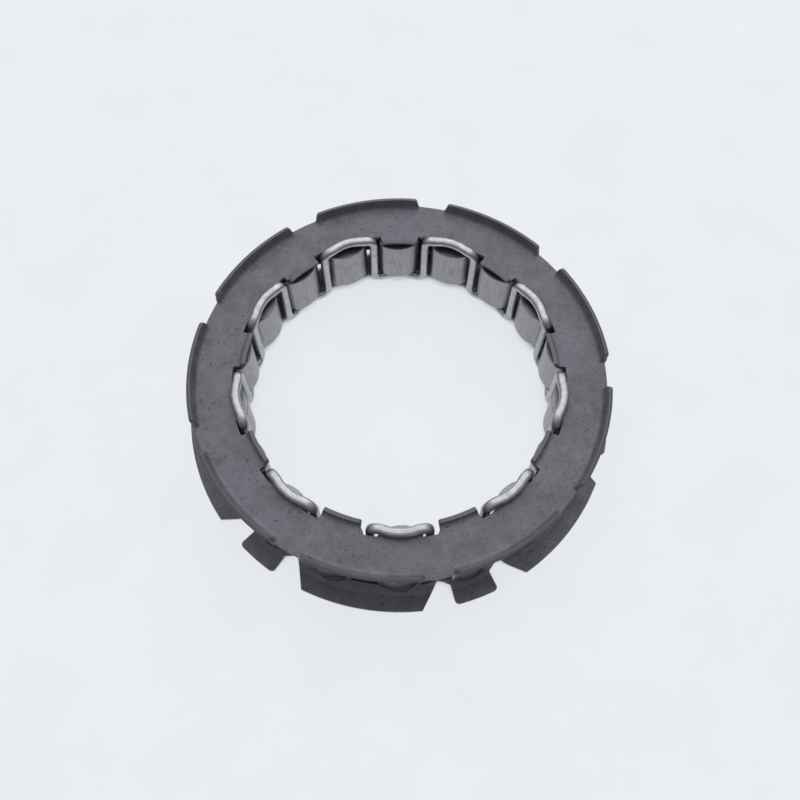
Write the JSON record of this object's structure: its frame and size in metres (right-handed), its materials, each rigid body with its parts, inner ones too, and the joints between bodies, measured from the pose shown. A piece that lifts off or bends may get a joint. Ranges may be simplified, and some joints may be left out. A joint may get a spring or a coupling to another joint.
{
  "type": "sprag clutch",
  "caption": "Caged sprag clutch: a ring of steel sprags in a meander spring between a tabbed end plate and a lugged sheet cage.",
  "frame": {"origin": "on the ring axis, at the underside of the cage's lugs", "axes": "+Z along the ring axis, from the lugs towards the tabbed end plate; +X lies in a gap between a wide and a narrow lug"},
  "size_m": [0.0746, 0.0748, 0.0137],
  "materials": {
    "dark_sheet": "dark phosphated strip steel",
    "spring_steel": "bright flat spring wire",
    "ground_steel": "ground hardened steel"
  },
  "bodies": {
    "root": {"end_plate": "dark_sheet", "sprag_cage": "dark_sheet", "energising_spring": "spring_steel"},
    "sprag_01_body": {"sprag_01": "ground_steel"},
    "sprag_02_body": {"sprag_02": "ground_steel"},
    "sprag_03_body": {"sprag_03": "ground_steel"},
    "sprag_04_body": {"sprag_04": "ground_steel"},
    "sprag_05_body": {"sprag_05": "ground_steel"},
    "sprag_06_body": {"sprag_06": "ground_steel"},
    "sprag_07_body": {"sprag_07": "ground_steel"},
    "sprag_08_body": {"sprag_08": "ground_steel"},
    "sprag_09_body": {"sprag_09": "ground_steel"},
    "sprag_10_body": {"sprag_10": "ground_steel"},
    "sprag_11_body": {"sprag_11": "ground_steel"},
    "sprag_12_body": {"sprag_12": "ground_steel"},
    "sprag_13_body": {"sprag_13": "ground_steel"},
    "sprag_14_body": {"sprag_14": "ground_steel"},
    "sprag_15_body": {"sprag_15": "ground_steel"},
    "sprag_16_body": {"sprag_16": "ground_steel"},
    "sprag_17_body": {"sprag_17": "ground_steel"},
    "sprag_18_body": {"sprag_18": "ground_steel"}
  },
  "joints": [
    {"name": "sprag_01_tilt", "type": "hinge", "parent": "root", "child": "sprag_01_body", "pos_m": [0.02962, -0.00478, 0.0064], "axis": [0, 0, 1], "range_deg": [-4, 0], "stiffness_Nm_per_rad": 0.005, "springref_deg": 5.73},
    {"name": "sprag_02_tilt", "type": "hinge", "parent": "root", "child": "sprag_02_body", "pos_m": [0.02947, 0.00564, 0.0064], "axis": [0, 0, 1], "range_deg": [-4, 0], "stiffness_Nm_per_rad": 0.005, "springref_deg": 5.73},
    {"name": "sprag_03_tilt", "type": "hinge", "parent": "root", "child": "sprag_03_body", "pos_m": [0.02576, 0.01538, 0.0064], "axis": [0, 0, 1], "range_deg": [-4, 0], "stiffness_Nm_per_rad": 0.005, "springref_deg": 5.73},
    {"name": "sprag_04_tilt", "type": "hinge", "parent": "root", "child": "sprag_04_body", "pos_m": [0.01895, 0.02326, 0.0064], "axis": [0, 0, 1], "range_deg": [-4, 0], "stiffness_Nm_per_rad": 0.005, "springref_deg": 5.73},
    {"name": "sprag_05_tilt", "type": "hinge", "parent": "root", "child": "sprag_05_body", "pos_m": [0.00985, 0.02834, 0.0064], "axis": [0, 0, 1], "range_deg": [-4, 0], "stiffness_Nm_per_rad": 0.005, "springref_deg": 5.73},
    {"name": "sprag_06_tilt", "type": "hinge", "parent": "root", "child": "sprag_06_body", "pos_m": [-0.00044, 0.03, 0.0064], "axis": [0, 0, 1], "range_deg": [-4, 0], "stiffness_Nm_per_rad": 0.005, "springref_deg": 5.73},
    {"name": "sprag_07_tilt", "type": "hinge", "parent": "root", "child": "sprag_07_body", "pos_m": [-0.01067, 0.02804, 0.0064], "axis": [0, 0, 1], "range_deg": [-4, 0], "stiffness_Nm_per_rad": 0.005, "springref_deg": 5.73},
    {"name": "sprag_08_tilt", "type": "hinge", "parent": "root", "child": "sprag_08_body", "pos_m": [-0.01962, 0.0227, 0.0064], "axis": [0, 0, 1], "range_deg": [-4, 0], "stiffness_Nm_per_rad": 0.005, "springref_deg": 5.73},
    {"name": "sprag_09_tilt", "type": "hinge", "parent": "root", "child": "sprag_09_body", "pos_m": [-0.0262, 0.01462, 0.0064], "axis": [0, 0, 1], "range_deg": [-4, 0], "stiffness_Nm_per_rad": 0.005, "springref_deg": 5.73},
    {"name": "sprag_10_tilt", "type": "hinge", "parent": "root", "child": "sprag_10_body", "pos_m": [-0.02962, 0.00478, 0.0064], "axis": [0, 0, 1], "range_deg": [-4, 0], "stiffness_Nm_per_rad": 0.005, "springref_deg": 5.73},
    {"name": "sprag_11_tilt", "type": "hinge", "parent": "root", "child": "sprag_11_body", "pos_m": [-0.02947, -0.00564, 0.0064], "axis": [0, 0, 1], "range_deg": [-4, 0], "stiffness_Nm_per_rad": 0.005, "springref_deg": 5.73},
    {"name": "sprag_12_tilt", "type": "hinge", "parent": "root", "child": "sprag_12_body", "pos_m": [-0.02576, -0.01538, 0.0064], "axis": [0, 0, 1], "range_deg": [-4, 0], "stiffness_Nm_per_rad": 0.005, "springref_deg": 5.73},
    {"name": "sprag_13_tilt", "type": "hinge", "parent": "root", "child": "sprag_13_body", "pos_m": [-0.01895, -0.02326, 0.0064], "axis": [0, 0, 1], "range_deg": [-4, 0], "stiffness_Nm_per_rad": 0.005, "springref_deg": 5.73},
    {"name": "sprag_14_tilt", "type": "hinge", "parent": "root", "child": "sprag_14_body", "pos_m": [-0.00985, -0.02834, 0.0064], "axis": [0, 0, 1], "range_deg": [-4, 0], "stiffness_Nm_per_rad": 0.005, "springref_deg": 5.73},
    {"name": "sprag_15_tilt", "type": "hinge", "parent": "root", "child": "sprag_15_body", "pos_m": [0.00044, -0.03, 0.0064], "axis": [0, 0, 1], "range_deg": [-4, 0], "stiffness_Nm_per_rad": 0.005, "springref_deg": 5.73},
    {"name": "sprag_16_tilt", "type": "hinge", "parent": "root", "child": "sprag_16_body", "pos_m": [0.01067, -0.02804, 0.0064], "axis": [0, 0, 1], "range_deg": [-4, 0], "stiffness_Nm_per_rad": 0.005, "springref_deg": 5.73},
    {"name": "sprag_17_tilt", "type": "hinge", "parent": "root", "child": "sprag_17_body", "pos_m": [0.01962, -0.0227, 0.0064], "axis": [0, 0, 1], "range_deg": [-4, 0], "stiffness_Nm_per_rad": 0.005, "springref_deg": 5.73},
    {"name": "sprag_18_tilt", "type": "hinge", "parent": "root", "child": "sprag_18_body", "pos_m": [0.0262, -0.01462, 0.0064], "axis": [0, 0, 1], "range_deg": [-4, 0], "stiffness_Nm_per_rad": 0.005, "springref_deg": 5.73}
  ],
  "couplings": [
    {"joint": "sprag_02_tilt", "follows": "sprag_01_tilt", "ratio": 1},
    {"joint": "sprag_03_tilt", "follows": "sprag_01_tilt", "ratio": 1},
    {"joint": "sprag_04_tilt", "follows": "sprag_01_tilt", "ratio": 1},
    {"joint": "sprag_05_tilt", "follows": "sprag_01_tilt", "ratio": 1},
    {"joint": "sprag_06_tilt", "follows": "sprag_01_tilt", "ratio": 1},
    {"joint": "sprag_07_tilt", "follows": "sprag_01_tilt", "ratio": 1},
    {"joint": "sprag_08_tilt", "follows": "sprag_01_tilt", "ratio": 1},
    {"joint": "sprag_09_tilt", "follows": "sprag_01_tilt", "ratio": 1},
    {"joint": "sprag_10_tilt", "follows": "sprag_01_tilt", "ratio": 1},
    {"joint": "sprag_11_tilt", "follows": "sprag_01_tilt", "ratio": 1},
    {"joint": "sprag_12_tilt", "follows": "sprag_01_tilt", "ratio": 1},
    {"joint": "sprag_13_tilt", "follows": "sprag_01_tilt", "ratio": 1},
    {"joint": "sprag_14_tilt", "follows": "sprag_01_tilt", "ratio": 1},
    {"joint": "sprag_15_tilt", "follows": "sprag_01_tilt", "ratio": 1},
    {"joint": "sprag_16_tilt", "follows": "sprag_01_tilt", "ratio": 1},
    {"joint": "sprag_17_tilt", "follows": "sprag_01_tilt", "ratio": 1},
    {"joint": "sprag_18_tilt", "follows": "sprag_01_tilt", "ratio": 1}
  ]
}
